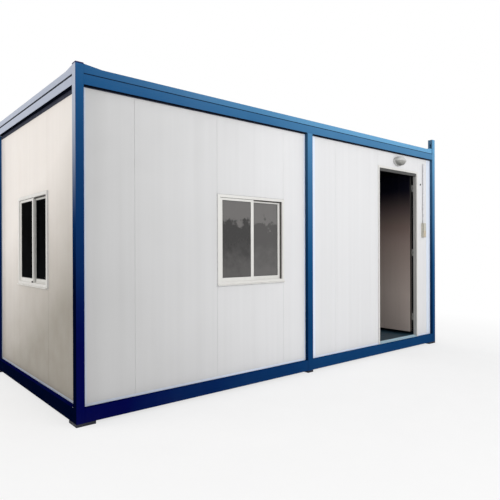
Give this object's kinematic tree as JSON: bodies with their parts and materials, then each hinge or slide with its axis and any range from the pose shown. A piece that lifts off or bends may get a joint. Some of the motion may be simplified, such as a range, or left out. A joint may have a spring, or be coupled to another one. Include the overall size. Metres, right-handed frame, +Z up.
{
  "type": "prefabricated bunkhouse",
  "caption": "Flat-roofed steel framed cabin with sandwich panel walls, sliding windows and an inward opening door.",
  "frame": {"origin": "on the ground under the middle of the footprint", "axes": "+X along the front from the window end to the door end, +Y from front to rear, +Z up"},
  "size_m": [5.046, 2.3645, 2.82],
  "materials": {
    "blue_steel": "gloss blue enamel",
    "galvanised": "grey zinc coated sheet",
    "panel_skin": "pre-painted off-white steel skin",
    "deck_board": "blue-grey sheet flooring on board",
    "white_aluminium": "white powder coat",
    "sill_metal": "brushed mill finish",
    "window_glass": "clear float glass",
    "leaf_skin": "pre-painted beige grey skin",
    "satin_steel": "satin",
    "lamp_body": "grey moulded plastic",
    "lamp_lens": "ribbed frosted glass",
    "conduit_plastic": "off-white moulded plastic",
    "box_plastic": "beige moulded plastic",
    "black_rubber": "black glazing gaskets and seals",
    "sealant": "off-white silicone beads"
  },
  "bodies": {
    "cabin": {"corner_post_front_left": "blue_steel", "corner_post_front_right": "blue_steel", "corner_post_rear_left": "blue_steel", "corner_post_rear_right": "blue_steel", "lifting_heads": "blue_steel", "mid_posts": "blue_steel", "base_rails_long": "blue_steel", "base_rails_short": "blue_steel", "top_rails_long": "blue_steel", "top_rails_short": "blue_steel", "foot_pads": "blue_steel", "floor_joists": "galvanised", "floor_deck": "deck_board", "ceiling_panel": "panel_skin", "roof_purlins": "galvanised", "roof_sheet": "galvanised", "front_panel_corner_left": "panel_skin", "front_panel_plain_left": "panel_skin", "front_window_infill": "panel_skin", "front_panel_mid_left": "panel_skin", "front_panel_mid_right": "panel_skin", "front_panel_plain_right": "panel_skin", "front_panel_over_door": "panel_skin", "front_panel_corner_right": "panel_skin", "left_panel_front": "panel_skin", "left_panel_rear": "panel_skin", "left_window_infill": "panel_skin", "right_panels": "panel_skin", "rear_panels": "panel_skin", "panel_trims": "white_aluminium", "front_window_frame": "white_aluminium", "front_window_sashes": "white_aluminium", "front_window_glass": "window_glass", "left_window_frame": "white_aluminium", "left_window_sashes": "white_aluminium", "left_window_glass": "window_glass", "door_frame": "white_aluminium", "door_threshold": "sill_metal", "frame_hinges": "satin_steel", "lamp_base": "lamp_body", "lamp_lens": "lamp_lens", "conduit": "conduit_plastic", "power_box": "box_plastic"},
    "door": {"door_leaf": "leaf_skin", "leaf_hinges": "satin_steel", "door_handle": "satin_steel"}
  },
  "joints": [
    {"name": "door_swing", "type": "hinge", "parent": "cabin", "child": "door", "pos_m": [2.1302, -1.048, 0], "axis": [0, 0, 1], "range_deg": [-10, 90]}
  ]
}
